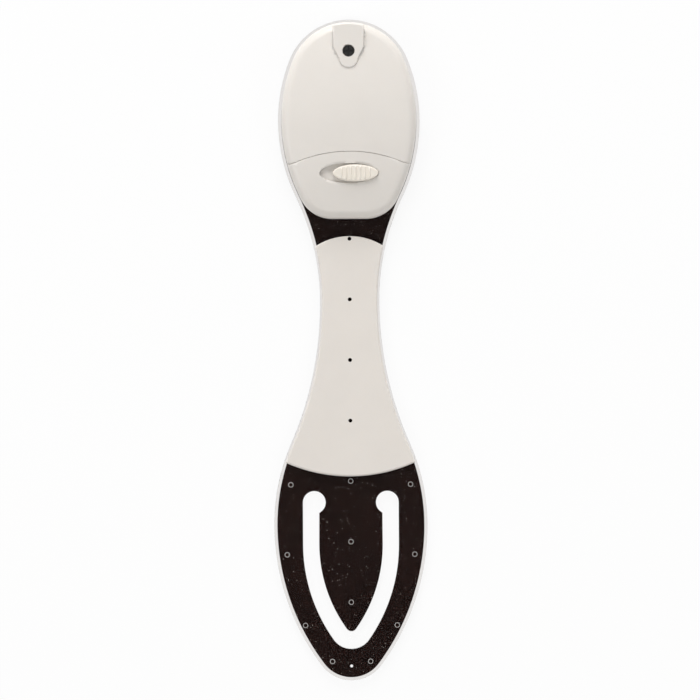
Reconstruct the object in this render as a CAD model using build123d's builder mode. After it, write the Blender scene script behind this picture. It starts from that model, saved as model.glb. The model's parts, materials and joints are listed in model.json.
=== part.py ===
from build123d import *
from math import cos, radians, sin, sqrt, tan
import os

# Bookmark book light. It lies on its front face at z = 0, with its back up and its head towards +Y.

# Outline of the flat sheet: half-widths, and the stations along the length where they apply
length = 170.0
crown_radius = 16.3
head_half_width = 18.2
head_station = 59.0
head_flank_radius = 45.0
waist_half_width = 7.6
waist_station = 12.5
clip_half_width = 19.7
clip_station = -45.0
clip_flank_radius = 52.0
clip_end_radius = 9.5

# Sheet and insert
sheet_thickness = 1.6
insert_thickness = 0.4
insert_rim = 0.8
sheet_edge_radius = 0.4

# Clip slot and tongue
slot_half_width = 12.3
slot_taper_station = -50.0
slot_end = -76.9
slot_end_radius = 5.5
slot_rim = 0.6
bulb_radius = 2.9
bulb_station = -39.2
tongue_half_width = 8.2
tongue_taper_station = -50.0
tongue_end = -72.4
tongue_tip_radius = 1.5
tongue_root_length = 1.0

# Moulding pin marks: a row on the centreline, four pairs on the clip and one through hole
pin_radius = 0.5
pin_row_start = 28.6
pin_row_pitch = 15.58
pin_row_count = 7
rim_pins = [(15.4, -34.6), (16.4, -52.6), (11.8, -70.8), (4.9, -80.1)]
through_hole_radius = 0.4
through_hole_station = -81.3

# Bending neck
neck_cover_thickness = 1.2
neck_cover_rim = 0.5
neck_cover_edge_radius = 0.5
neck_top_crown = 29.3
neck_top_radius = 16.1
neck_bottom_crown = -32.5
neck_bottom_radius = 40.6
neck_hinge_start = -25.0
neck_hinge_pitch = 10.0
neck_link_count = 5
strip_width = 2.5
strip_thickness = 0.4
strip_offset = 3.8
strip_length = 56.0

# Head housing
housing_rim = 0.9
housing_end = 33.7
housing_corner_radius = 9.0
housing_height = 9.2
housing_peak_station = 62.0
housing_long_radius = 126.0
housing_cross_radius = 110.0
housing_edge_radius = 2.6
housing_wall = 1.0
parting_height = 4.0
floor_thickness = 0.8
lip_thickness = 0.6
lip_height = 0.8
lip_clearance = 0.15
lip_start = 60.0

# Seam between the two covers, leaning back so that the battery cover can turn
seam_crown = 51.0
seam_radius = 30.6
seam_lean = 22.0
seam_gap = 0.16
seam_reference_height = 8.5

# Battery cover hinge line and hooks
cover_hinge_station = 47.6
cover_hinge_height = 7.4
hook_inner_radius = 2.8
hook_thickness = 0.6
hook_width = 2.4
hook_offset = 10.5
hook_start_angle = -24.0
hook_end_angle = -72.0
hook_post_depth = 0.8
keeper_thickness = 0.8
keeper_clearance = 0.12

# Screw, its raised pad, boss and threaded insert
screw_station = 76.6
screw_well_radius = 1.6
screw_head_radius = 1.45
screw_head_height = 1.3
screw_head_underside = 6.4
screw_shank_radius = 0.75
screw_tip_height = 3.4
screw_tip_chamfer = 0.3
screw_shank_clearance = 0.4
screw_recess_width = 0.5
screw_recess_depth = 0.7
boss_radius = 2.8
boss_height = 5.2
threaded_insert_radius = 1.7
threaded_insert_bore = 1.05
threaded_insert_length = 2.2
pad_half_width = 3.9
pad_height = 9.1
pad_tip_station = 72.2
pad_shoulder_station = 77.5
pad_edge_radius = 0.35

# Lens, reflector and LED
lens_station = 57.0
lens_radius = 4.0
lens_flange_radius = 4.8
lens_recess = 0.2
lens_dimple_radius = 2.6
lens_dimple_depth = 0.5
fit_clearance = 0.05
reflector_radius = 4.3
reflector_mouth_radius = 3.6
reflector_throat_radius = 2.4
led_length = 3.5
led_width = 2.8
led_height = 0.7

# Circuit board
board_gap = 0.8
board_thickness = 0.8
board_clearance = 0.3
board_end = 73.0
post_radius = 1.0
posts = [(8.0, 40.0), (12.5, 62.0)]
resistor_size = (2.0, 1.25, 0.5)
resistor_place = (7.5, 38.5)

# Coin cells, holder and contacts
cell_radius = 10.0
cell_thickness = 1.6
cell_station = 62.3
cell_edge_radius = 0.3
cell_cap_radius = 8.8
cell_cap_step = 0.15
cell_clearance = 0.2
holder_thickness = 1.0
holder_height = 3.0
spring_rise = 0.3
spring_thickness = 0.12
spring_length = 12.0
spring_width = 3.0
leaf_width = 5.0
leaf_thickness = 0.2
leaf_foot = 2.0
leaf_height = 2.9
foam_radius = 6.0
foam_clearance = 0.1

# Slide switch and its knob
switch_station = 45.3
recess_half_length = 7.6
recess_half_width = 2.525
recess_floor = 7.0
recess_floor_thickness = 0.8
knob_half_length = 5.85
knob_half_width = 2.2
knob_end_gap = 0.1
knob_lift = 0.1
knob_top = 8.5
knob_edge_radius = 0.4
rib_count = 7
rib_pitch = 1.2
rib_width = 0.45
rib_height = 0.25
rib_margin = 0.55
lever_width = 1.2
lever_clearance = 0.2
lever_engagement = 0.8
slider_length = 2.6
slider_width = 1.8
slider_height = 0.9
switch_length = 9.0
switch_width = 3.6
switch_height = 1.9
switch_wall = 0.35
terminal_width = 0.8
terminal_pitch = 2.5
terminal_count = 3
terminal_reach = 1.0
terminal_thickness = 0.15
terminal_rise = 0.6

# Heights and places that follow from the sizes above
half_length = length / 2
floor_top = sheet_thickness + floor_thickness
board_bottom = floor_top + board_gap
board_top = board_bottom + board_thickness
cell_bottom = board_top + spring_rise
cells_top = cell_bottom + 2 * cell_thickness
cavity_inset = housing_wall + lip_clearance + lip_thickness
knob_x = recess_half_length - knob_half_length - knob_end_gap
knob_bottom = recess_floor + knob_lift
hinge_stations = [neck_hinge_start + n * neck_hinge_pitch for n in range(neck_link_count + 1)]
pin_row = [(0, pin_row_start - n * pin_row_pitch) for n in range(pin_row_count)]
big = 2 * length

os.makedirs("parts", exist_ok=True)


def save(builder, label):
    builder.part.label = label
    export_step(builder.part, f"parts/{label}.step")


def stretch(whole, low, high):
    """The stretch of a long piece between two stations."""
    with BuildPart() as piece:
        add(whole.part)
        with Locations((0, (low + high) / 2, 0)):
            Box(big, high - low, big, mode=Mode.INTERSECT)
    return piece


# Plan outlines

def inner_tangency(end_y, end_radius, wide_x, wide_y):
    """Where a round end on the centreline meets the flank arc that is upright at the widest point."""
    center = Vector(0, end_y - end_radius if end_y > 0 else end_y + end_radius)
    rise = center.Y - wide_y
    flank_radius = (wide_x**2 + rise**2 - end_radius**2) / (2 * (wide_x - end_radius))
    away = (center - Vector(wide_x - flank_radius, wide_y)).normalized()
    return center + away * end_radius, flank_radius


def waist_tangency(wide_x, wide_y, wide_radius):
    """Where the flank arc of a wide end turns into the hollow arc that is upright at the waist."""
    step_x = wide_x - waist_half_width
    step_y = wide_y - waist_station
    hollow_radius = (step_x**2 + step_y**2) / (2 * step_x) - wide_radius
    center = Vector(wide_x - wide_radius, wide_y)
    towards = (Vector(waist_half_width + hollow_radius, waist_station) - center).normalized()
    return center + towards * wide_radius, hollow_radius


crown_end, head_side_radius = inner_tangency(half_length, crown_radius, head_half_width, head_station)
throat, throat_radius = waist_tangency(head_half_width, head_station, head_flank_radius)
flare, flare_radius = waist_tangency(clip_half_width, clip_station, clip_flank_radius)
clip_end, clip_side_radius = inner_tangency(-half_length, clip_end_radius, clip_half_width, clip_station)
with BuildSketch() as outline:
    with BuildLine():
        RadiusArc((0, half_length), crown_end, crown_radius)
        RadiusArc(crown_end, (head_half_width, head_station), head_side_radius)
        RadiusArc((head_half_width, head_station), throat, head_flank_radius)
        RadiusArc(throat, (waist_half_width, waist_station), -throat_radius)
        RadiusArc((waist_half_width, waist_station), flare, -flare_radius)
        RadiusArc(flare, (clip_half_width, clip_station), clip_flank_radius)
        RadiusArc((clip_half_width, clip_station), clip_end, clip_side_radius)
        RadiusArc(clip_end, (0, -half_length), clip_end_radius)
        mirror(about=Plane.YZ)
    make_face()



def round_ended(half_width, top, taper, end, end_radius):
    """A straight-sided tongue shape that narrows below its taper station to a round end."""
    tangency, side_radius = inner_tangency(end, end_radius, half_width, taper)
    with BuildSketch() as shape:
        with BuildLine():
            Polyline((0, top), (half_width, top), (half_width, taper))
            RadiusArc((half_width, taper), tangency, side_radius)
            RadiusArc(tangency, (0, end), end_radius)
            mirror(about=Plane.YZ)
        make_face()
    return shape


slot_window = round_ended(slot_half_width, bulb_station, slot_taper_station, slot_end, slot_end_radius)
tongue_outline = round_ended(
    tongue_half_width, bulb_station + bulb_radius, tongue_taper_station, tongue_end, tongue_tip_radius
)

with BuildSketch() as slot:
    add(slot_window.sketch)
    add(tongue_outline.sketch, mode=Mode.SUBTRACT)
    with Locations(*[(s * (slot_half_width - bulb_radius), bulb_station) for s in (-1, 1)]):
        Circle(bulb_radius)

with BuildSketch() as slot_border:
    add(slot.sketch)
    offset(amount=slot_rim)

with BuildSketch() as insert_outline:
    add(outline.sketch)
    offset(amount=-insert_rim)
    add(slot_border.sketch, mode=Mode.SUBTRACT)
    with Locations((0, lens_station)):
        Circle(lens_radius + fit_clearance, mode=Mode.SUBTRACT)
    with Locations((0, through_hole_station)):
        Circle(through_hole_radius, mode=Mode.SUBTRACT)

with BuildSketch() as neck_ends:
    with Locations((0, neck_top_crown - neck_top_radius)):
        Circle(neck_top_radius)
    with Locations((0, neck_top_crown - neck_top_radius - length / 2)):
        Rectangle(length, length)
    with Locations((0, neck_bottom_crown + neck_bottom_radius)):
        Circle(neck_bottom_radius, mode=Mode.INTERSECT)

with BuildSketch() as neck_outline:
    add(outline.sketch)
    offset(amount=-neck_cover_rim)
    add(neck_ends.sketch, mode=Mode.INTERSECT)


# The sheet, its insert, the neck cover and the steel strips, each drawn whole and then cut at the bending lines

with BuildPart() as sheet:
    with BuildSketch():
        add(outline.sketch)
    extrude(amount=sheet_thickness)
    fillet(sheet.faces().sort_by(Axis.Z)[-1].edges(), sheet_edge_radius)
    with BuildSketch():
        add(slot.sketch)
    extrude(amount=sheet_thickness, mode=Mode.SUBTRACT)
    with BuildSketch():
        add(insert_outline.sketch)
        with Locations((0, lens_station)):
            Circle(lens_radius + fit_clearance)
    extrude(amount=insert_thickness, mode=Mode.SUBTRACT)
    with BuildSketch(Plane.XY.offset(insert_thickness)):
        with Locations(*pin_row, *rim_pins, *[(-x, y) for x, y in rim_pins]):
            Circle(pin_radius)
        with Locations((0, lens_station)):
            Circle(lens_radius + fit_clearance)
    extrude(amount=sheet_thickness, mode=Mode.SUBTRACT)
    with BuildSketch():
        with Locations((0, through_hole_station)):
            Circle(through_hole_radius)
    extrude(amount=sheet_thickness, mode=Mode.SUBTRACT)

with BuildPart() as insert:
    with BuildSketch():
        add(insert_outline.sketch)
    extrude(amount=insert_thickness)

with BuildPart() as neck_cover:
    with BuildSketch(Plane.XY.offset(sheet_thickness)):
        add(neck_outline.sketch)
    extrude(amount=neck_cover_thickness)
    fillet(neck_cover.faces().sort_by(Axis.Z)[-1].edges(), neck_cover_edge_radius)
    with BuildSketch(Plane.XY.offset(sheet_thickness)):
        with Locations(*pin_row):
            Circle(pin_radius)
    extrude(amount=neck_cover_thickness, mode=Mode.SUBTRACT)
    with BuildSketch(Plane.XY.offset(sheet_thickness)):
        with Locations((-strip_offset, 0), (strip_offset, 0)):
            Rectangle(strip_width, strip_length)
    extrude(amount=strip_thickness, mode=Mode.SUBTRACT)

with BuildPart() as strips:
    with BuildSketch(Plane.XY.offset(sheet_thickness)):
        with Locations((-strip_offset, 0), (strip_offset, 0)):
            Rectangle(strip_width, strip_length)
    extrude(amount=strip_thickness)

long_pieces = {"sheet": sheet, "insert": insert, "cover": neck_cover, "strips": strips}
for number in range(neck_link_count):
    for kind, whole in long_pieces.items():
        save(stretch(whole, hinge_stations[number], hinge_stations[number + 1]), f"neck_{kind}_{number + 1}")

save(stretch(sheet, hinge_stations[-1], half_length), "head_sheet")
save(stretch(insert, hinge_stations[-1], half_length), "head_insert")
save(stretch(neck_cover, hinge_stations[-1], half_length), "neck_cover_upper")
save(stretch(strips, hinge_stations[-1], half_length), "neck_strips_upper")
save(stretch(neck_cover, -half_length, hinge_stations[0]), "neck_cover_lower")
save(stretch(strips, -half_length, hinge_stations[0]), "neck_strips_lower")


# Clip: the tongue is cut free of the ring, and flexes in a short root

root_top = bulb_station + tongue_root_length / 2
root_bottom = bulb_station - tongue_root_length / 2

with BuildPart() as tongue_zone:
    with BuildSketch():
        add(tongue_outline.sketch)
        offset(amount=(slot_half_width - tongue_half_width) / 2)
        with Locations((0, root_top + length / 2)):
            Rectangle(length, length, mode=Mode.SUBTRACT)
    extrude(amount=sheet_thickness)

for kind, whole in {"sheet": sheet, "insert": insert}.items():
    clip_end_stretch = stretch(whole, -half_length, hinge_stations[0])
    with BuildPart() as ring:
        add(clip_end_stretch.part)
        add(tongue_zone.part, mode=Mode.SUBTRACT)
    save(ring, f"clip_{kind}")
    with BuildPart() as tongue:
        add(whole.part)
        add(tongue_zone.part, mode=Mode.INTERSECT)
    save(stretch(tongue, -half_length, root_bottom), f"tongue_{kind}")
    save(stretch(tongue, root_bottom, root_top), f"tongue_root_{kind}")


# Head housing, drawn whole and then cut into base, switch cover and battery cover


def housing_plan(inset):
    with BuildSketch() as plan:
        add(outline.sketch)
        offset(amount=-(housing_rim + inset))
        with Locations((0, housing_end + inset + length / 2)):
            Rectangle(length, length, mode=Mode.INTERSECT)
        fillet(plan.vertices().group_by(Axis.Y)[0], housing_corner_radius - inset)
    return plan.sketch


def housing_body(inset, floor):
    """The domed housing, or the space inside it, from a floor height up."""
    long_radius = housing_long_radius - inset
    crown_axis = housing_height - housing_cross_radius
    with BuildPart() as crown:
        with BuildSketch(Plane.YZ):
            with BuildLine():
                ends = [
                    (y, housing_height - housing_long_radius + sqrt(long_radius**2 - (y - housing_peak_station) ** 2))
                    for y in (housing_end - 1, half_length + 1)
                ]
                ThreePointArc(ends[0], (housing_peak_station, housing_height - inset), ends[1])
                Polyline(ends[1], (ends[1][0], crown_axis), (ends[0][0], crown_axis), ends[0])
            make_face()
        revolve(axis=Axis((0, 0, crown_axis), (0, 1, 0)))
    plan = housing_plan(inset)
    with BuildPart() as body:
        with BuildSketch(Plane.XY.offset(floor)):
            add(plan)
        extrude(amount=housing_height)
        add(crown.part, mode=Mode.INTERSECT)
        fillet(body.faces().sort_by(Axis.Z)[-1].edges(), housing_edge_radius - inset)
    return body.part


def slab(bottom, top):
    with BuildPart() as block:
        with BuildSketch(Plane.XY.offset(bottom)):
            Rectangle(big, big)
        extrude(amount=top - bottom)
    return block.part


def beyond_seam(gap):
    """Everything on the screw's side of the leaning seam."""
    shift = seam_reference_height * tan(radians(seam_lean)) + gap
    reach = head_half_width + 4
    drop = seam_radius - sqrt(seam_radius**2 - reach**2)
    with BuildPart() as block:
        with BuildSketch():
            with BuildLine():
                low = seam_crown + shift - drop
                ThreePointArc((-reach, low), (0, seam_crown + shift), (reach, low))
                Polyline((reach, low), (reach, length), (-reach, length), (-reach, low))
            make_face()
        extrude(amount=2 * housing_height, dir=(0, -sin(radians(seam_lean)), cos(radians(seam_lean))))
    return block.part


housing = housing_body(0, sheet_thickness)
housing_space = housing_body(housing_wall, sheet_thickness)
above_parting = slab(parting_height, 3 * housing_height)
cavity_plan = housing_plan(cavity_inset)
lip_plan = housing_plan(housing_wall + lip_clearance)
pad_plan = housing_plan(housing_wall / 2)
board_plan = housing_plan(cavity_inset + board_clearance)
screw_side = beyond_seam(0)
screw_side_and_gap = beyond_seam(-seam_gap)

with BuildPart() as head_base:
    add(housing)
    add(above_parting, mode=Mode.SUBTRACT)
    with BuildSketch(Plane.XY.offset(floor_top)):
        add(cavity_plan)
    extrude(amount=parting_height - floor_top, mode=Mode.SUBTRACT)
    with BuildSketch(Plane.XY.offset(floor_top)):
        with Locations(*posts, *[(-x, y) for x, y in posts]):
            Circle(post_radius)
    extrude(amount=board_gap)
    with BuildSketch(Plane.XY.offset(floor_top)):
        with Locations((0, screw_station)):
            Circle(boss_radius)
    extrude(amount=boss_height - floor_top)
    with BuildSketch(Plane.XY.offset(boss_height)):
        with Locations((0, screw_station)):
            Circle(threaded_insert_radius)
    extrude(amount=-threaded_insert_length, mode=Mode.SUBTRACT)
    with BuildSketch(Plane.XY.offset(sheet_thickness)):
        with Locations((0, lens_station)):
            Circle(lens_flange_radius + fit_clearance)
    extrude(amount=floor_thickness, mode=Mode.SUBTRACT)
    with BuildSketch(Plane.XY.offset(parting_height - lip_height)):
        add(lip_plan)
        add(cavity_plan, mode=Mode.SUBTRACT)
        with Locations((0, lip_start + length / 2)):
            Rectangle(length, length, mode=Mode.INTERSECT)
    extrude(amount=2 * lip_height)
save(head_base, "head_base")

with BuildPart() as shell:
    add(housing)
    add(housing_space, mode=Mode.SUBTRACT)
    add(above_parting, mode=Mode.INTERSECT)

with BuildPart() as screw_pad:
    with BuildSketch(Plane.XY.offset(parting_height + lip_height)):
        with BuildLine():
            tip_radius = 0.62 * pad_half_width
            Polyline(
                (-tip_radius, pad_tip_station + tip_radius),
                (-pad_half_width, pad_shoulder_station),
                (-pad_half_width, half_length),
                (pad_half_width, half_length),
                (pad_half_width, pad_shoulder_station),
                (tip_radius, pad_tip_station + tip_radius),
            )
            ThreePointArc(
                (-tip_radius, pad_tip_station + tip_radius),
                (0, pad_tip_station),
                (tip_radius, pad_tip_station + tip_radius),
            )
        make_face()
        add(pad_plan, mode=Mode.INTERSECT)
    extrude(amount=pad_height - parting_height - lip_height)
    fillet(screw_pad.faces().sort_by(Axis.Z)[-1].edges(), pad_edge_radius)
    add(housing_space, mode=Mode.SUBTRACT)

with BuildPart() as cover_boss:
    with BuildSketch(Plane.XY.offset(boss_height)):
        with Locations((0, screw_station)):
            Circle(boss_radius)
    extrude(amount=pad_height - boss_height - housing_wall / 2)


def about_hinge(radius, angle):
    return (
        cover_hinge_station + radius * cos(radians(angle)),
        cover_hinge_height + radius * sin(radians(angle)),
    )


hook_outer_radius = hook_inner_radius + hook_thickness
hook_middle_angle = (hook_start_angle + hook_end_angle) / 2
with BuildPart() as hooks:
    for side_x in (-hook_offset, hook_offset):
        with BuildSketch(Plane.YZ.offset(side_x - hook_width / 2)):
            with BuildLine():
                inner = [about_hinge(hook_inner_radius, a) for a in (hook_start_angle, hook_middle_angle, hook_end_angle)]
                outer = [about_hinge(hook_outer_radius, a) for a in (hook_start_angle, hook_middle_angle, hook_end_angle)]
                ThreePointArc(*inner)
                ThreePointArc(*outer)
                Line(inner[0], outer[0])
                Line(inner[2], outer[2])
            make_face()
        extrude(amount=hook_width)
        with BuildSketch(Plane.YZ.offset(side_x - hook_width / 2)):
            post_y = about_hinge(hook_inner_radius, hook_start_angle)[0]
            post_z = about_hinge(hook_outer_radius, hook_start_angle)[1]
            with Locations((post_y, post_z)):
                Rectangle(hook_post_depth, housing_height - post_z, align=(Align.MIN, Align.MIN))
        extrude(amount=hook_width)

with BuildPart() as hook_posts:
    add(hooks.part)
    add(housing, mode=Mode.INTERSECT)

with BuildPart() as battery_cover:
    add(shell.part)
    add(screw_pad.part)
    add(cover_boss.part)
    add(screw_side, mode=Mode.INTERSECT)
    add(hook_posts.part)
    with BuildSketch(Plane.XY.offset(screw_head_underside)):
        with Locations((0, screw_station)):
            Circle(screw_well_radius)
    extrude(amount=housing_height, mode=Mode.SUBTRACT)
    with BuildSketch(Plane.XY.offset(boss_height)):
        with Locations((0, screw_station)):
            Circle(screw_shank_radius + screw_shank_clearance)
    extrude(amount=housing_height, mode=Mode.SUBTRACT)
save(battery_cover, "battery_cover")

with BuildPart() as switch_cup:
    with BuildSketch(Plane.XY.offset(recess_floor - recess_floor_thickness)):
        with Locations((0, switch_station)):
            Ellipse(recess_half_length + recess_floor_thickness, recess_half_width + recess_floor_thickness)
    extrude(amount=housing_height)
    add(housing, mode=Mode.INTERSECT)

with BuildPart() as keepers:
    keeper_end = cover_hinge_station + hook_inner_radius * 0.42
    keeper_drop = sqrt((hook_inner_radius - keeper_clearance) ** 2 - (keeper_end - cover_hinge_station) ** 2)
    with BuildSketch(Plane.XY.offset(cover_hinge_height - keeper_drop)):
        with Locations(*[(s * hook_offset, keeper_end - keeper_thickness / 2) for s in (-1, 1)]):
            Rectangle(hook_width + 2 * keeper_clearance, keeper_thickness)
    extrude(amount=housing_height)
    add(housing, mode=Mode.INTERSECT)

with BuildPart() as switch_cover:
    add(shell.part)
    add(switch_cup.part)
    add(keepers.part)
    add(screw_side_and_gap, mode=Mode.SUBTRACT)
    with BuildSketch(Plane.XY.offset(recess_floor)):
        with Locations((0, switch_station)):
            Ellipse(recess_half_length, recess_half_width)
    extrude(amount=housing_height, mode=Mode.SUBTRACT)
    with BuildSketch(Plane.XY.offset(recess_floor - recess_floor_thickness)):
        with Locations((0, switch_station)):
            Rectangle(2 * knob_x + lever_width + 2 * lever_clearance, lever_width + 2 * lever_clearance)
    extrude(amount=recess_floor_thickness, mode=Mode.SUBTRACT)
save(switch_cover, "switch_cover")

with BuildPart() as cover_screw:
    with BuildSketch(Plane.XY.offset(screw_head_underside)):
        with Locations((0, screw_station)):
            Circle(screw_head_radius)
    extrude(amount=screw_head_height)
    with BuildSketch(Plane.XY.offset(screw_tip_height)):
        with Locations((0, screw_station)):
            Circle(screw_shank_radius)
    extrude(amount=screw_head_underside - screw_tip_height)
    chamfer(cover_screw.edges().sort_by(Axis.Z)[0], screw_tip_chamfer)
    with BuildSketch(Plane.XY.offset(screw_head_underside + screw_head_height)):
        with Locations((0, screw_station)):
            Rectangle(2 * screw_head_radius - screw_recess_width, screw_recess_width)
            Rectangle(screw_recess_width, 2 * screw_head_radius - screw_recess_width)
    extrude(amount=-screw_recess_depth, mode=Mode.SUBTRACT)
save(cover_screw, "cover_screw")

with BuildPart() as threaded_insert:
    with BuildSketch(Plane.XY.offset(boss_height)):
        with Locations((0, screw_station)):
            Circle(threaded_insert_radius)
            Circle(threaded_insert_bore, mode=Mode.SUBTRACT)
    extrude(amount=-threaded_insert_length)
save(threaded_insert, "threaded_insert")


# Lens, reflector and LED, on the front

with BuildPart() as lens:
    with BuildSketch(Plane.XY.offset(lens_recess)):
        with Locations((0, lens_station)):
            Circle(lens_radius)
    extrude(amount=sheet_thickness - lens_recess)
    with BuildSketch(Plane.XY.offset(sheet_thickness)):
        with Locations((0, lens_station)):
            Circle(lens_flange_radius)
    extrude(amount=floor_thickness)
    with Locations((0, lens_station, floor_top + lens_dimple_radius - lens_dimple_depth)):
        Sphere(lens_dimple_radius, mode=Mode.SUBTRACT)
save(lens, "lens")

with BuildPart() as reflector:
    with Locations((0, lens_station, floor_top)):
        Cylinder(reflector_radius, board_gap, align=(Align.CENTER, Align.CENTER, Align.MIN))
        Cone(
            reflector_mouth_radius,
            reflector_throat_radius,
            board_gap,
            align=(Align.CENTER, Align.CENTER, Align.MIN),
            mode=Mode.SUBTRACT,
        )
save(reflector, "reflector")

with BuildPart() as led:
    with Locations((0, lens_station, board_bottom)):
        Box(led_length, led_width, led_height, align=(Align.CENTER, Align.CENTER, Align.MAX))
    fillet(led.edges().filter_by(Axis.Z), 0.2)
save(led, "led")


# Circuit board and what is soldered on it

with BuildPart() as circuit_board:
    with BuildSketch(Plane.XY.offset(board_bottom)):
        add(board_plan)
        with Locations((0, board_end + length / 2)):
            Rectangle(length, length, mode=Mode.SUBTRACT)
    extrude(amount=board_thickness)
save(circuit_board, "circuit_board")

with BuildPart() as resistor:
    with Locations((*resistor_place, board_top)):
        Box(*resistor_size, align=(Align.CENTER, Align.CENTER, Align.MIN))
save(resistor, "resistor")

switch_floor = board_top + switch_wall
slider_travel = 2 * knob_x
with BuildPart() as switch_body:
    with Locations((0, switch_station, board_top)):
        Box(switch_length, switch_width, switch_height, align=(Align.CENTER, Align.CENTER, Align.MIN))
    with Locations((0, switch_station, switch_floor)):
        Box(
            slider_travel + slider_length + 2 * lever_clearance,
            slider_width + 2 * lever_clearance,
            switch_height - 2 * switch_wall,
            align=(Align.CENTER, Align.CENTER, Align.MIN),
            mode=Mode.SUBTRACT,
        )
        Box(
            slider_travel + lever_width + 2 * lever_clearance,
            lever_width + 2 * lever_clearance,
            switch_height,
            align=(Align.CENTER, Align.CENTER, Align.MIN),
            mode=Mode.SUBTRACT,
        )
save(switch_body, "switch_body")

terminal_front = switch_station - switch_width / 2
with BuildPart() as switch_terminals:
    spots = [((n - (terminal_count - 1) / 2) * terminal_pitch, terminal_front) for n in range(terminal_count)]
    with BuildSketch(Plane.XY.offset(board_top)):
        with Locations(*spots):
            Rectangle(terminal_width, terminal_reach, align=(Align.CENTER, Align.MAX))
    extrude(amount=terminal_thickness)
    with BuildSketch(Plane.XY.offset(board_top)):
        with Locations(*spots):
            Rectangle(terminal_width, terminal_thickness, align=(Align.CENTER, Align.MAX))
    extrude(amount=terminal_rise)
save(switch_terminals, "switch_terminals")

slider_gap = (switch_height - 2 * switch_wall - slider_height) / 2
with BuildPart() as switch_lever:
    with Locations((knob_x, switch_station, switch_floor + slider_gap)):
        Box(slider_length, slider_width, slider_height, align=(Align.CENTER, Align.CENTER, Align.MIN))
        Box(
            lever_width,
            lever_width,
            knob_bottom + lever_engagement - switch_floor - slider_gap,
            align=(Align.CENTER, Align.CENTER, Align.MIN),
        )
save(switch_lever, "switch_lever")

with BuildPart() as switch_knob:
    with BuildSketch(Plane.XY.offset(knob_bottom)):
        with Locations((knob_x, switch_station)):
            Ellipse(knob_half_length, knob_half_width)
    extrude(amount=knob_top - knob_bottom)
    fillet(switch_knob.faces().sort_by(Axis.Z)[-1].edges(), knob_edge_radius)
    for number in range(rib_count):
        rib_x = (number - (rib_count - 1) / 2) * rib_pitch
        chord = knob_half_width * sqrt(1 - (rib_x / knob_half_length) ** 2) - rib_margin
        with Locations((knob_x + rib_x, switch_station, knob_top - knob_edge_radius)):
            Box(
                rib_width,
                2 * chord,
                knob_edge_radius + rib_height,
                align=(Align.CENTER, Align.CENTER, Align.MIN),
            )
    with Locations((knob_x, switch_station, knob_bottom)):
        Box(
            lever_width + 2 * fit_clearance,
            lever_width + 2 * fit_clearance,
            lever_engagement,
            align=(Align.CENTER, Align.CENTER, Align.MIN),
            mode=Mode.SUBTRACT,
        )
save(switch_knob, "switch_knob")


# Coin cells, their holder, contacts and foam pad

for name, bottom in {"coin_cell_lower": cell_bottom, "coin_cell_upper": cell_bottom + cell_thickness}.items():
    with BuildPart() as coin_cell:
        with Locations((0, cell_station, bottom + cell_cap_step)):
            Cylinder(cell_radius, cell_thickness - cell_cap_step, align=(Align.CENTER, Align.CENTER, Align.MIN))
        fillet(coin_cell.faces().sort_by(Axis.Z)[-1].edges(), cell_edge_radius)
        with Locations((0, cell_station, bottom)):
            Cylinder(cell_cap_radius, cell_cap_step, align=(Align.CENTER, Align.CENTER, Align.MIN))
    save(coin_cell, name)

holder_bore = cell_radius + cell_clearance
with BuildPart() as cell_holder:
    with BuildSketch(Plane.XY.offset(board_top)):
        with Locations((0, cell_station)):
            Circle(holder_bore + holder_thickness)
            Circle(holder_bore, mode=Mode.SUBTRACT)
        with Locations((0, cell_station - holder_bore)):
            Rectangle(leaf_width + 2 * cell_clearance, 4 * holder_thickness, mode=Mode.SUBTRACT)
    extrude(amount=holder_height)
    with BuildSketch(Plane.XY.offset(board_top)):
        with Locations((0, screw_station)):
            Circle(boss_radius + cell_clearance)
    extrude(amount=holder_height, mode=Mode.SUBTRACT)
save(cell_holder, "cell_holder")

with BuildPart() as spring_contact:
    with BuildSketch(Plane.YZ.offset(-spring_width / 2)):
        with BuildLine():
            low_end = cell_station - spring_length / 2
            high_end = cell_station + spring_length / 2
            ThreePointArc((low_end, board_top), (cell_station, cell_bottom - spring_thickness), (high_end, board_top))
            ThreePointArc(
                (low_end, board_top + spring_thickness),
                (cell_station, cell_bottom),
                (high_end, board_top + spring_thickness),
            )
            Line((low_end, board_top), (low_end, board_top + spring_thickness))
            Line((high_end, board_top), (high_end, board_top + spring_thickness))
        make_face()
    extrude(amount=spring_width)
save(spring_contact, "spring_contact")

leaf_face = cell_station - cell_radius
with BuildPart() as contact_leaf:
    with Locations((0, leaf_face, board_top)):
        Box(leaf_width, leaf_thickness, leaf_height, align=(Align.CENTER, Align.MAX, Align.MIN))
        Box(leaf_width, leaf_foot, leaf_thickness, align=(Align.CENTER, Align.MAX, Align.MIN))
save(contact_leaf, "contact_leaf")

with BuildPart() as foam_pad:
    with BuildSketch(Plane.XY.offset(cells_top + foam_clearance)):
        with Locations((0, cell_station)):
            Circle(foam_radius)
    extrude(amount=housing_height)
    add(housing_space, mode=Mode.INTERSECT)
save(foam_pad, "foam_pad")
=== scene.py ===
"""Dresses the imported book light: a clear sheet over a black insert, with a white neck cover and a white head.

It is seen from straight above its back, on white. Lengths here are metres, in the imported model's own frame.
"""

import json
import math

import bmesh
import bpy
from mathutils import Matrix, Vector


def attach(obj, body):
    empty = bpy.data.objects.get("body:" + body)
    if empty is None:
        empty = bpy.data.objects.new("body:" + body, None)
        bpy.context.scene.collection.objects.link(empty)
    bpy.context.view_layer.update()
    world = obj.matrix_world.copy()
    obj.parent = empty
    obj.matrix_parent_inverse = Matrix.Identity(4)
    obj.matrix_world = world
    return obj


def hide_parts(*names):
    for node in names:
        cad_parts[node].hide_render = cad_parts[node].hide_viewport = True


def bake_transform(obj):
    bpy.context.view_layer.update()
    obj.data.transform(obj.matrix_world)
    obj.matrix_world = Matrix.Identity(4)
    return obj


MM = 0.001

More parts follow.
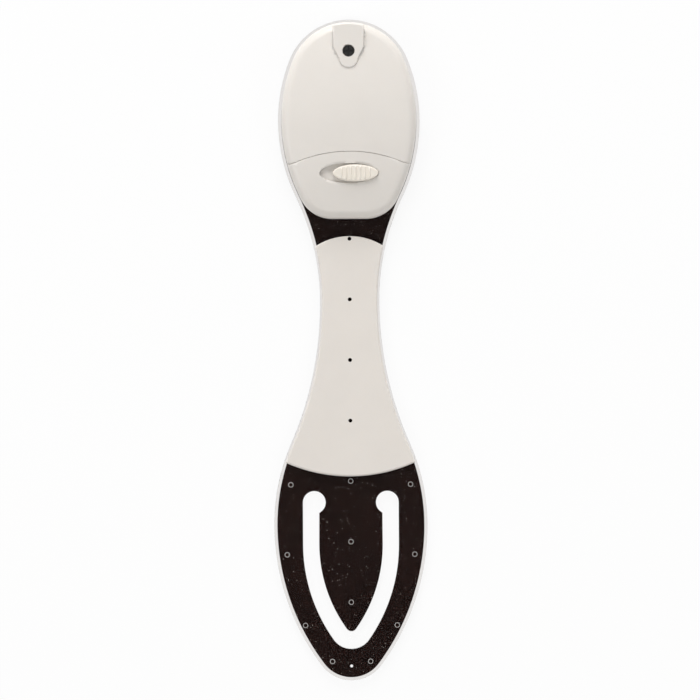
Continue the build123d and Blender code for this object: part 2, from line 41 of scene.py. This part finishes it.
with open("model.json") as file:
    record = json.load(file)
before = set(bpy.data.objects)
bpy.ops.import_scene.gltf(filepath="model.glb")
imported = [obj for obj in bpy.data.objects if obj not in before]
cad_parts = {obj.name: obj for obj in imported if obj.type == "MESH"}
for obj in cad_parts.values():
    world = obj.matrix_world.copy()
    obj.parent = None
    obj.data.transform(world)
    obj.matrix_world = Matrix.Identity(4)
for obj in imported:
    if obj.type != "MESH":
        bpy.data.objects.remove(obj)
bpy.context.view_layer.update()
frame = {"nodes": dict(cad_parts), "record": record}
nodes = frame["nodes"]

# Places the scene shares with the part, in metres
BEND_STATIONS = [-25 * MM, -15 * MM, -5 * MM, 5 * MM, 15 * MM, 25 * MM]
LINKS = 5
HALF_LINK = 5 * MM
LOWEST = BEND_STATIONS[0] - HALF_LINK
HIGHEST = BEND_STATIONS[-1] + HALF_LINK
BEND_SLICE = 1 * MM
TONGUE_ROOT_TOP = -38.7 * MM
TONGUE_ROOT_BOTTOM = -39.7 * MM
TONGUE_BEND_END = -43 * MM
TONGUE_SLICE = BEND_SLICE / 4

# How the meshes are joined, thinned and shaded, with angles in degrees
SAME_PLANE = 0.01 * MM
WELD = 0.015 * MM
FLAT_ANGLE = 0.3
FLAT_AREA = 10 * MM**2
SHARP_ANGLE = 50

# The card's edge: how far it is pushed up into the sheet, out to the slot and in under the head
INSERT_TOP = 0.4 * MM
CARD_BITE = 0.02 * MM
UNDER_HEAD = 0.35 * MM
HOUSING_STATION = 38 * MM
SLOT_TOP = -35.5 * MM
SLOT_REACH = 0.55 * MM
SLOT_BAND = 14.6 * MM
SLOT_BAND_TOP = -45 * MM
SLOT_BAND_LENGTH = 33.5 * MM

BODY_NODES = frame["record"]["behaviour"]["bodies"]
NODE_SLOTS = {part["node"]: part["material_slot"] for part in frame["record"]["subparts"]}

# The view and the light
FRAME_WIDTH = 0.1803
SENSOR_WIDTH = 0.036
CAMERA_DISTANCE = 1.2
CAMERA_ROLL = -0.3
WORLD_LEVEL = 0.57
ZENITH_START = 0.75
ZENITH_END = 0.93
ZENITH_LEVEL = 0.12
KEY_POWER = 10
LEFT_POWER = 3.5
RIGHT_POWER = 2.8
LAMP_SIZE = 0.6
FLOOR_SIZE = 4
FLOOR_DROP = 0.02 * MM
FLOOR_GLOW = 0.9


# Materials

# How fine their patterns are, in repeats per metre
CLOUDS = 130
GLOSS_PATCHES = 420
MOULD_GRAIN = 5200
SHEET_WEAR = 900
SHEET_WAVES = 260
CARD_CLOUDS = 90
CARD_SPECKS = 2300
CARD_DRIFTS = 120
CARD_GLOSS = 600
CARD_GRAIN = 2600
METAL_CLOUDS = 300
METAL_MARKS = 2400

# How much a clear piece reflects
REFLECTION = 0.15


def node_tree(name):
    """A new material with its nodes, its links and its Principled shader."""
    material = bpy.data.materials.new(name)
    material.use_nodes = True
    tree = material.node_tree
    return material, tree.nodes, tree.links, tree.nodes["Principled BSDF"]


def object_coordinates(made, links, scale=(1, 1, 1)):
    """Coordinates fixed to the piece, in metres times scale."""
    coordinates = made.new("ShaderNodeTexCoord")
    mapping = made.new("ShaderNodeMapping")
    mapping.inputs["Scale"].default_value = scale
    links.new(coordinates.outputs["Object"], mapping.inputs["Vector"])
    return mapping.outputs["Vector"]


def noise(made, links, vector, scale, detail=4, roughness=0.55):
    texture = made.new("ShaderNodeTexNoise")
    texture.inputs["Scale"].default_value = scale
    texture.inputs["Detail"].default_value = detail
    texture.inputs["Roughness"].default_value = roughness
    links.new(vector, texture.inputs["Vector"])
    return texture.outputs["Fac"]


def ramp(made, links, factor, *stops):
    """A colour ramp with stops of (position, colour)."""
    node = made.new("ShaderNodeValToRGB")
    elements = node.color_ramp.elements
    for number, (position, colour) in enumerate(stops):
        element = elements[number] if number < 2 else elements.new(position)
        element.position = position
        element.color = (*colour, 1)
    links.new(factor, node.inputs["Fac"])
    return node.outputs["Color"]


def value_range(made, links, value, low, high):
    """A texture's 0 to 1, moved into the range from low to high."""
    node = made.new("ShaderNodeMapRange")
    node.inputs["To Min"].default_value = low
    node.inputs["To Max"].default_value = high
    links.new(value, node.inputs["Value"])
    return node.outputs["Result"]


def bump(made, links, shader, height, depth, strength=1.0):
    """Relief on the shader, depth metres deep where height goes from 0 to 1."""
    node = made.new("ShaderNodeBump")
    node.inputs["Strength"].default_value = strength
    node.inputs["Distance"].default_value = depth
    links.new(height, node.inputs["Height"])
    links.new(node.outputs["Normal"], shader.inputs["Normal"])


def moulded_plastic(name, colour, variation=0.012, roughness=(0.34, 0.46), grain=6e-6, coat=0.0):
    """Opaque moulded plastic: a fine spark-eroded grain, faint clouding of its colour and of its gloss."""
    material, made, links, shader = node_tree(name)
    vector = object_coordinates(made, links)
    clouds = noise(made, links, vector, CLOUDS, detail=3)
    dark = tuple(part * (1 - variation) for part in colour)
    pale = tuple(min(1, part * (1 + variation)) for part in colour)
    links.new(ramp(made, links, clouds, (0.3, dark), (0.7, pale)), shader.inputs["Base Color"])
    gloss = noise(made, links, vector, GLOSS_PATCHES, detail=5)
    links.new(value_range(made, links, gloss, *roughness), shader.inputs["Roughness"])
    shader.inputs["IOR"].default_value = 1.49
    shader.inputs["Subsurface Weight"].default_value = 0.08
    shader.inputs["Subsurface Radius"].default_value = (1.2 * MM, 1.0 * MM, 0.8 * MM)
    shader.inputs["Subsurface Scale"].default_value = 0.5
    shader.inputs["Coat Weight"].default_value = coat
    shader.inputs["Coat Roughness"].default_value = 0.15
    bump(made, links, shader, noise(made, links, vector, MOULD_GRAIN, detail=2), grain)
    return material


def clear_plastic(name, tint=(0.82, 0.80, 0.785), roughness=0.05):
    """Clear moulded sheet, faintly grey at its edges, with a slight unevenness of its surface."""
    material, made, links, shader = node_tree(name)
    vector = object_coordinates(made, links)
    shader.inputs["Base Color"].default_value = (*tint, 1)
    shader.inputs["Transmission Weight"].default_value = 1
    shader.inputs["IOR"].default_value = 1.46
    shader.inputs["Specular Tint"].default_value = (REFLECTION, REFLECTION, REFLECTION, 1)
    wear = noise(made, links, vector, SHEET_WEAR, detail=4)
    links.new(value_range(made, links, wear, roughness, roughness + 0.07), shader.inputs["Roughness"])
    bump(made, links, shader, noise(made, links, vector, SHEET_WAVES, detail=2), 1.5e-5, 0.5)
    return material


def black_card(name):
    """The printed black insert under the clear sheet, with the dust specks that show on it."""
    material, made, links, shader = node_tree(name)
    vector = object_coordinates(made, links)
    clouds = noise(made, links, vector, CARD_CLOUDS, detail=5)
    base = ramp(made, links, clouds, (0.3, (0.0125, 0.0042, 0.0030)), (0.75, (0.0190, 0.0068, 0.0050)))
    cells = made.new("ShaderNodeTexVoronoi")
    cells.inputs["Scale"].default_value = CARD_SPECKS
    links.new(vector, cells.inputs["Vector"])
    specks = made.new("ShaderNodeMapRange")
    specks.inputs["From Min"].default_value = 0.25
    specks.inputs["From Max"].default_value = 0.08
    links.new(cells.outputs["Distance"], specks.inputs["Value"])
    chosen = made.new("ShaderNodeMath")
    chosen.operation = "GREATER_THAN"
    chosen.inputs[1].default_value = 0.86
    channels = made.new("ShaderNodeSeparateColor")
    links.new(cells.outputs["Color"], channels.inputs["Color"])
    links.new(channels.outputs["Red"], chosen.inputs[0])
    amount = made.new("ShaderNodeMath")
    amount.operation = "MULTIPLY"
    links.new(specks.outputs["Result"], amount.inputs[0])
    links.new(chosen.outputs["Value"], amount.inputs[1])
    drifts = noise(made, links, vector, CARD_DRIFTS, detail=2)
    dim = made.new("ShaderNodeMath")
    dim.operation = "MULTIPLY"
    links.new(value_range(made, links, drifts, -0.3, 1.8), dim.inputs[1])
    links.new(amount.outputs["Value"], dim.inputs[0])
    mix = made.new("ShaderNodeMix")
    mix.data_type = "RGBA"
    mix.inputs["B"].default_value = (0.85, 0.79, 0.72, 1)
    links.new(dim.outputs["Value"], mix.inputs["Factor"])
    links.new(base, mix.inputs["A"])
    links.new(mix.outputs["Result"], shader.inputs["Base Color"])
    gloss = noise(made, links, vector, CARD_GLOSS, detail=4)
    links.new(value_range(made, links, gloss, 0.42, 0.55), shader.inputs["Roughness"])
    shader.inputs["Specular IOR Level"].default_value = 0.06
    bump(made, links, shader, noise(made, links, vector, CARD_GRAIN, detail=3), 5e-6, 0.6)
    return material


def metal(name, colour, roughness=(0.22, 0.36), grain_scale=(1, 1, 1)):
    """Plain metal with fine rolling or turning marks."""
    material, made, links, shader = node_tree(name)
    vector = object_coordinates(made, links, grain_scale)
    shader.inputs["Metallic"].default_value = 1
    clouds = noise(made, links, vector, METAL_CLOUDS, detail=4)
    dark = tuple(part * 0.9 for part in colour)
    links.new(ramp(made, links, clouds, (0.3, dark), (0.7, colour)), shader.inputs["Base Color"])
    marks = noise(made, links, vector, METAL_MARKS, detail=3)
    links.new(value_range(made, links, marks, *roughness), shader.inputs["Roughness"])
    bump(made, links, shader, marks, 3e-6, 0.7)
    return material


WARM_WHITE = (0.748, 0.710, 0.665)
NECK_WHITE = (0.748, 0.704, 0.655)
KNOB_WHITE = (0.80, 0.745, 0.665)
BLACK = (0.012, 0.011, 0.011)
LED_YELLOW = (0.80, 0.66, 0.16)
FOAM_GREY = (0.10, 0.10, 0.105)
finishes = {
    "white_shell": moulded_plastic("white_shell", WARM_WHITE),
    "white_neck": moulded_plastic("white_neck", NECK_WHITE, roughness=(0.40, 0.52), grain=8e-6),
    "white_knob": moulded_plastic("white_knob", KNOB_WHITE, roughness=(0.30, 0.40), grain=4e-6),
    "clear_sheet": clear_plastic("clear_sheet"),
    "lens_clear": clear_plastic("lens_clear", tint=(0.97, 0.97, 0.96), roughness=0.02),
    "black_insert": black_card("black_insert"),
    "steel_strip": metal("steel_strip", (0.56, 0.55, 0.53), grain_scale=(1, 0.05, 1)),
    "cell_steel": metal("cell_steel", (0.62, 0.61, 0.59)),
    "switch_metal": metal("switch_metal", (0.50, 0.50, 0.49)),
    "contact_metal": metal("contact_metal", (0.66, 0.64, 0.60), roughness=(0.18, 0.30)),
    "brass": metal("brass", (0.72, 0.53, 0.24)),
    "screw_black": moulded_plastic("screw_black", BLACK, variation=0.2, roughness=(0.3, 0.45)),
    "white_reflector": moulded_plastic("white_reflector", (0.82, 0.82, 0.81), roughness=(0.25, 0.35)),
    "led_face": moulded_plastic("led_face", LED_YELLOW, variation=0.05, roughness=(0.2, 0.35), coat=0.6),
    "board": moulded_plastic("board", (0.035, 0.13, 0.05), variation=0.12, coat=0.5),
    "resistor_body": moulded_plastic("resistor_body", (0.03, 0.03, 0.032), variation=0.1, coat=0.3),
    "holder_plastic": moulded_plastic("holder_plastic", (0.05, 0.05, 0.052), variation=0.06),
    "lever_plastic": moulded_plastic("lever_plastic", (0.06, 0.06, 0.06), variation=0.06),
    "foam": moulded_plastic("foam", FOAM_GREY, variation=0.2, roughness=(0.85, 0.98), grain=1.2e-4),
}

for name, slot in NODE_SLOTS.items():
    nodes[name].data.materials.clear()
    nodes[name].data.materials.append(finishes[slot])


# Pieces that bend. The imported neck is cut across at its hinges, and the real one is whole.
# So each stretch from the middle of one link to the middle of the next is a piece that bends there.


def drop_faces_at(mesh, station):
    """Removes the faces that lie in the cross plane at station."""
    flat = [
        face
        for face in mesh.faces
        if all(abs(vertex.co.y - station) < SAME_PLANE for vertex in face.verts)
    ]
    bmesh.ops.delete(mesh, geom=flat, context="FACES")


def merged(sources, joins=()):
    """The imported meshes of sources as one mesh, without the faces that meet inside at the joins."""
    mesh = bmesh.new()
    for name in sources:
        mesh.from_mesh(nodes[name].data)
    for station in joins:
        drop_faces_at(mesh, station)
    bmesh.ops.remove_doubles(mesh, verts=mesh.verts, dist=WELD)
    bmesh.ops.dissolve_limit(
        mesh, angle_limit=math.radians(FLAT_ANGLE), verts=mesh.verts, edges=mesh.edges, delimit={"NORMAL"}
    )
    return mesh


def keep_between(mesh, low, high):
    """Cuts the mesh across and keeps what lies between low and high.

    The cuts stay open, where the next piece meets.
    """
    for station, keep_above in ((low, True), (high, False)):
        if station is None:
            continue
        bmesh.ops.bisect_plane(
            mesh,
            geom=mesh.verts[:] + mesh.edges[:] + mesh.faces[:],
            plane_co=(0, station, 0),
            plane_no=(0, 1, 0),
            clear_inner=keep_above,
            clear_outer=not keep_above,
        )


def slice_across(mesh, low, high, step):
    """Gives the mesh rows of vertices from low to high, so that it can bend there."""
    count = max(1, round((high - low) / step))
    for number in range(count + 1):
        bmesh.ops.bisect_plane(
            mesh,
            geom=mesh.verts[:] + mesh.edges[:] + mesh.faces[:],
            plane_co=(0, low + (high - low) * number / count, 0),
            plane_no=(0, 1, 0),
        )


def even_normals(piece):
    """Keeps the shading of each large flat face level up to the rounded edge beside it."""
    strength = piece.data.attributes.new("__mod_weightednormals_faceweight", "INT", "FACE")
    for polygon in piece.data.polygons:
        strength.data[polygon.index].value = 1 if polygon.area > FLAT_AREA else 0
    weighted = piece.modifiers.new("even_normals", "WEIGHTED_NORMAL")
    weighted.mode = "FACE_AREA_WITH_ANGLE"
    weighted.use_face_influence = True
    weighted.keep_sharp = True
    shaped = bpy.data.meshes.new_from_object(piece.evaluated_get(bpy.context.evaluated_depsgraph_get()))
    piece.modifiers.clear()
    shaped.name = piece.name
    piece.data = shaped


def to_object(mesh, name, slot):
    """A smooth-shaded object with the slot's finish."""
    data = bpy.data.meshes.new(name)
    mesh.to_mesh(data)
    mesh.free()
    data.shade_smooth()
    data.set_sharp_from_angle(angle=math.radians(SHARP_ANGLE))
    data.materials.append(finishes[slot])
    piece = bpy.data.objects.new(name, data)
    bpy.context.collection.objects.link(piece)
    even_normals(piece)
    return piece


def push_sides(mesh, moves):
    """Moves the insert's top edge out by moves(place) metres, and its top up into the sheet.

    The card and the clear sheet would otherwise share faces, which shows as speckles.
    """
    mesh.normal_update()
    shifts = {}
    for vertex in mesh.verts:
        if vertex.co.z < INSERT_TOP / 2:
            continue
        sides = [face.normal for face in vertex.link_faces if abs(face.normal.z) < 0.5]
        across = sum(sides, Vector((0, 0, 0)))
        across.z = 0
        shift = Vector((0, 0, CARD_BITE))
        if across.length > 0:
            shift += across.normalized() * moves(vertex.co)
        shifts[vertex] = shift
    for vertex, shift in shifts.items():
        vertex.co += shift


def card_reach(place):
    """How far the card's edge moves out: close to the slot's edge, and in under the head."""
    if place.y > HOUSING_STATION:
        return -UNDER_HEAD
    if place.y < SLOT_TOP and in_slot_band(place):
        return SLOT_REACH
    return CARD_BITE


def in_slot_band(place):
    """Whether the place is at the slot's edges, and not at the clip's own rim."""
    along = (place.y - SLOT_BAND_TOP) / SLOT_BAND_LENGTH
    return abs(place.x) < SLOT_BAND * math.sqrt(max(0, 1 - along**2))


def stretch_sources(kind, number):
    """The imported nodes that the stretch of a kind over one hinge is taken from."""
    ends = {"sheet": ("clip_sheet", "head_sheet"), "insert": ("clip_insert", "head_insert")}
    ends["cover"] = ("neck_cover_lower", "neck_cover_upper")
    ends["strips"] = ("neck_strips_lower", "neck_strips_upper")
    chain = [ends[kind][0], *[f"neck_{kind}_{link}" for link in range(1, LINKS + 1)], ends[kind][1]]
    return chain[number], chain[number + 1]


SLOTS = {"sheet": "clear_sheet", "insert": "black_insert", "cover": "white_neck", "strips": "steel_strip"}
for kind, slot in SLOTS.items():
    bends = []
    for number, station in enumerate(BEND_STATIONS):
        below, above = stretch_sources(kind, number)
        mesh = merged([below, above], [station])
        if kind == "insert":
            push_sides(mesh, card_reach)
        low = station - HALF_LINK
        high = station + HALF_LINK
        keep_between(mesh, low, high)
        slice_across(mesh, low + BEND_SLICE, high - BEND_SLICE, BEND_SLICE)
        piece = to_object(mesh, f"bend_{kind}_{number + 1}", slot)
        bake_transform(piece)
        if number < LINKS:
            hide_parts(f"neck_{kind}_{number + 1}")
        bends.append(piece)
    for body, source, beside, low, high in (
        ("clip", stretch_sources(kind, 0)[0], bends[0], None, LOWEST),
        ("head", stretch_sources(kind, LINKS)[1], bends[-1], HIGHEST, None),
    ):
        mesh = merged([source], [TONGUE_ROOT_TOP])
        if kind == "insert":
            push_sides(mesh, card_reach)
        keep_between(mesh, low, high)
        if not mesh.faces:
            mesh.free()
            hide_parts(source)
            continue
        piece = to_object(mesh, f"{body}_{kind}_end", slot)
        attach(piece, body)
        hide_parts(source)

for kind in ("sheet", "insert"):
    mesh = merged([f"tongue_{kind}", f"tongue_root_{kind}"], [TONGUE_ROOT_TOP, TONGUE_ROOT_BOTTOM])
    if kind == "insert":
        push_sides(mesh, card_reach)
    slice_across(mesh, TONGUE_BEND_END, TONGUE_ROOT_TOP - TONGUE_SLICE, TONGUE_SLICE)
    piece = to_object(mesh, f"bend_tongue_{kind}", SLOTS[kind])
    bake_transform(piece)
    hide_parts(f"tongue_{kind}", f"tongue_root_{kind}")


# Shells of the head, with their facets shaded smooth

for name in ("head_base", "battery_cover", "switch_cover", "cover_screw", "lens"):
    body = next(key for key, names in BODY_NODES.items() if name in names)
    mesh = merged([name])
    piece = to_object(mesh, f"{name}_smooth", NODE_SLOTS[name])
    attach(piece, body)
    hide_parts(name)


# Knob of the switch, with its seven soft ribs

KNOB_PLACE = (1.65 * MM, 45.3 * MM)
KNOB_HALF_LENGTH = 5.85 * MM
KNOB_HALF_WIDTH = 2.2 * MM
KNOB_BOTTOM = 7.1 * MM
KNOB_TOP = 8.5 * MM
KNOB_EDGE = 0.4 * MM
KNOB_COLUMNS = 240
KNOB_ROWS = 26
RIB_COUNT = 7
RIB_PITCH = 1.2 * MM
RIB_WIDTH = 0.62 * MM
RIB_HEIGHT = 0.25 * MM
RIB_MARGIN = 0.55 * MM
RIB_RUNOUT = 0.25 * MM


def knob_height(x, y):
    """The knob's surface over a place measured from its middle."""
    inside = 1 - (x / KNOB_HALF_LENGTH) ** 2 - (y / KNOB_HALF_WIDTH) ** 2
    slope = 2 * math.hypot(x / KNOB_HALF_LENGTH**2, y / KNOB_HALF_WIDTH**2)
    from_edge = max(0, inside) / slope if slope > 0 else KNOB_EDGE
    drop = KNOB_EDGE - min(from_edge, KNOB_EDGE)
    height = KNOB_TOP - KNOB_EDGE + math.sqrt(KNOB_EDGE**2 - drop**2)
    nearest = max(-(RIB_COUNT // 2), min(RIB_COUNT // 2, round(x / RIB_PITCH))) * RIB_PITCH
    off_rib = abs(x - nearest) / (RIB_WIDTH / 2)
    if off_rib >= 1:
        return height
    chord = KNOB_HALF_WIDTH * math.sqrt(1 - (nearest / KNOB_HALF_LENGTH) ** 2) - RIB_MARGIN
    end = max(0, min(1, (chord - abs(y)) / RIB_RUNOUT + 0.5))
    return height + RIB_HEIGHT * math.cos(off_rib * math.pi / 2) ** 2 * end * end * (3 - 2 * end)


def knob_mesh():
    mesh = bmesh.new()
    columns = []
    for column in range(KNOB_COLUMNS + 1):
        x = KNOB_HALF_LENGTH * math.sin(math.pi / 2 * (2 * column / KNOB_COLUMNS - 1))
        half = KNOB_HALF_WIDTH * math.sqrt(max(0, 1 - (x / KNOB_HALF_LENGTH) ** 2))
        row = [(x, -half, KNOB_BOTTOM)]
        for number in range(KNOB_ROWS + 1):
            y = half * math.sin(math.pi / 2 * (2 * number / KNOB_ROWS - 1))
            row.append((x, y, knob_height(x, y)))
        row.append((x, half, KNOB_BOTTOM))
        columns.append([mesh.verts.new((KNOB_PLACE[0] + a, KNOB_PLACE[1] + b, c)) for a, b, c in row])
    for left, right in zip(columns, columns[1:]):
        for low in range(len(left) - 1):
            mesh.faces.new((left[low], right[low], right[low + 1], left[low + 1]))
        mesh.faces.new((left[-1], right[-1], right[0], left[0]))
    bmesh.ops.remove_doubles(mesh, verts=mesh.verts, dist=0.001 * MM)
    bmesh.ops.recalc_face_normals(mesh, faces=mesh.faces)
    return mesh


knob = to_object(knob_mesh(), "switch_knob_ribbed", "white_knob")
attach(knob, "switch_knob")
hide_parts("switch_knob")


# Pale rings that the pressed pins leave in the clear sheet

SHEET_TOP = 1.6 * MM
RING_STEPS = 32
RING_PROFILE = [
    (0.52 * MM, SHEET_TOP - 0.03 * MM),
    (0.52 * MM, SHEET_TOP + 0.01 * MM),
    (0.56 * MM, SHEET_TOP + 0.03 * MM),
    (0.62 * MM, SHEET_TOP + 0.03 * MM),
    (0.67 * MM, SHEET_TOP + 0.01 * MM),
    (0.67 * MM, SHEET_TOP - 0.03 * MM),
]


def ring_mesh(mesh, x, y):
    """Adds one flattened ring to the mesh, standing a hair proud of the sheet."""
    rows = []
    for radius, height in RING_PROFILE:
        row = []
        for step in range(RING_STEPS):
            angle = 2 * math.pi * step / RING_STEPS
            row.append(mesh.verts.new((x + radius * math.cos(angle), y + radius * math.sin(angle), height)))
        rows.append(row)
    for inner, outer in zip(rows, rows[1:] + rows[:1]):
        for step in range(RING_STEPS):
            after = (step + 1) % RING_STEPS
            mesh.faces.new((inner[step], outer[step], outer[after], inner[after]))


CLIP_PINS = [(15.4, -34.6), (16.4, -52.6), (11.8, -70.8), (4.9, -80.1)]
TONGUE_PINS = [(0, -49.3), (0, -64.88)]
marks = {
    "clip": [(0, -33.72), *CLIP_PINS, *[(-x, y) for x, y in CLIP_PINS]],
    "tongue": TONGUE_PINS,
}
finishes["pin_mark"] = moulded_plastic("pin_mark", (0.46, 0.44, 0.425), variation=0.2, roughness=(0.4, 0.7))
for body, places in marks.items():
    mesh = bmesh.new()
    for x, y in places:
        ring_mesh(mesh, x * MM, y * MM)
    bmesh.ops.recalc_face_normals(mesh, faces=mesh.faces)
    piece = to_object(mesh, f"{body}_pin_marks", "pin_mark")
    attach(piece, body)


# Floor, lamps and camera


def white_to_the_eye(tree, lit, share):
    """Mixes lit with plain white light for what the camera, reflections and clear pieces see."""
    made, links = tree.nodes, tree.links
    path = made.new("ShaderNodeLightPath")
    seen = made.new("ShaderNodeMath")
    seen.operation = "MAXIMUM"
    links.new(path.outputs["Is Camera Ray"], seen.inputs[0])
    links.new(path.outputs["Is Glossy Ray"], seen.inputs[1])
    through = made.new("ShaderNodeMath")
    through.operation = "MAXIMUM"
    links.new(seen.outputs["Value"], through.inputs[0])
    links.new(path.outputs["Is Transmission Ray"], through.inputs[1])
    amount = made.new("ShaderNodeMath")
    amount.operation = "MULTIPLY"
    amount.inputs[1].default_value = share
    links.new(through.outputs["Value"], amount.inputs[0])
    mix = made.new("ShaderNodeMixShader")
    links.new(amount.outputs["Value"], mix.inputs["Fac"])
    links.new(lit, mix.inputs[1])
    return mix


def add_floor():
    bpy.ops.mesh.primitive_plane_add(size=FLOOR_SIZE, location=(0, 0, -FLOOR_DROP))
    floor = bpy.context.object
    floor.name = "floor"
    material, made, links, shader = node_tree("floor_white")
    shader.inputs["Base Color"].default_value = (0.88, 0.88, 0.88, 1)
    shader.inputs["Roughness"].default_value = 0.9
    shader.inputs["Specular IOR Level"].default_value = 0.1
    glow = made.new("ShaderNodeEmission")
    glow.inputs["Color"].default_value = (1, 1, 1, 1)
    mix = white_to_the_eye(material.node_tree, shader.outputs["BSDF"], FLOOR_GLOW)
    links.new(glow.outputs["Emission"], mix.inputs[2])
    links.new(mix.outputs["Shader"], made["Material Output"].inputs["Surface"])
    floor.data.materials.append(material)


def add_world():
    world = bpy.data.worlds.new("studio")
    world.use_nodes = True
    made, links = world.node_tree.nodes, world.node_tree.links
    soft = made["Background"]
    soft.inputs["Strength"].default_value = WORLD_LEVEL
    coordinates = made.new("ShaderNodeTexCoord")
    axes = made.new("ShaderNodeSeparateXYZ")
    links.new(coordinates.outputs["Generated"], axes.inputs["Vector"])
    dark = (ZENITH_LEVEL, ZENITH_LEVEL, ZENITH_LEVEL)
    sky = ramp(made, links, axes.outputs["Z"], (ZENITH_START, (1, 0.995, 0.985)), (ZENITH_END, dark))
    links.new(sky, soft.inputs["Color"])
    white = made.new("ShaderNodeBackground")
    white.inputs["Strength"].default_value = 1
    mix = white_to_the_eye(world.node_tree, soft.outputs["Background"], 1)
    links.new(white.outputs["Background"], mix.inputs[2])
    links.new(mix.outputs["Shader"], made["World Output"].inputs["Surface"])
    bpy.context.scene.world = world


def add_lamp(name, place, power):
    """A square soft lamp at place, facing the middle of the part."""
    lamp = bpy.data.lights.new(name, "AREA")
    lamp.shape = "SQUARE"
    lamp.size = LAMP_SIZE
    lamp.energy = power
    stand = bpy.data.objects.new(name, lamp)
    stand.location = place
    stand.rotation_euler = (-Vector(place)).to_track_quat("-Z", "Y").to_euler()
    bpy.context.collection.objects.link(stand)


def add_camera():
    lens = bpy.data.cameras.new("camera")
    lens.sensor_width = SENSOR_WIDTH * 1000
    lens.lens = SENSOR_WIDTH * 1000 * CAMERA_DISTANCE / FRAME_WIDTH
    lens.clip_end = 10
    camera = bpy.data.objects.new("camera", lens)
    camera.location = (0, 0, CAMERA_DISTANCE)
    camera.rotation_euler = (0, 0, math.radians(CAMERA_ROLL))
    bpy.context.collection.objects.link(camera)
    bpy.context.scene.camera = camera


add_floor()
add_world()
add_lamp("key_lamp", (-0.1, 1.0, 0.5), KEY_POWER)
add_lamp("left_lamp", (-0.9, -0.3, 0.8), LEFT_POWER)
add_lamp("right_lamp", (0.9, -0.4, 0.8), RIGHT_POWER)
add_camera()
bpy.context.scene.view_settings.view_transform = "Standard"
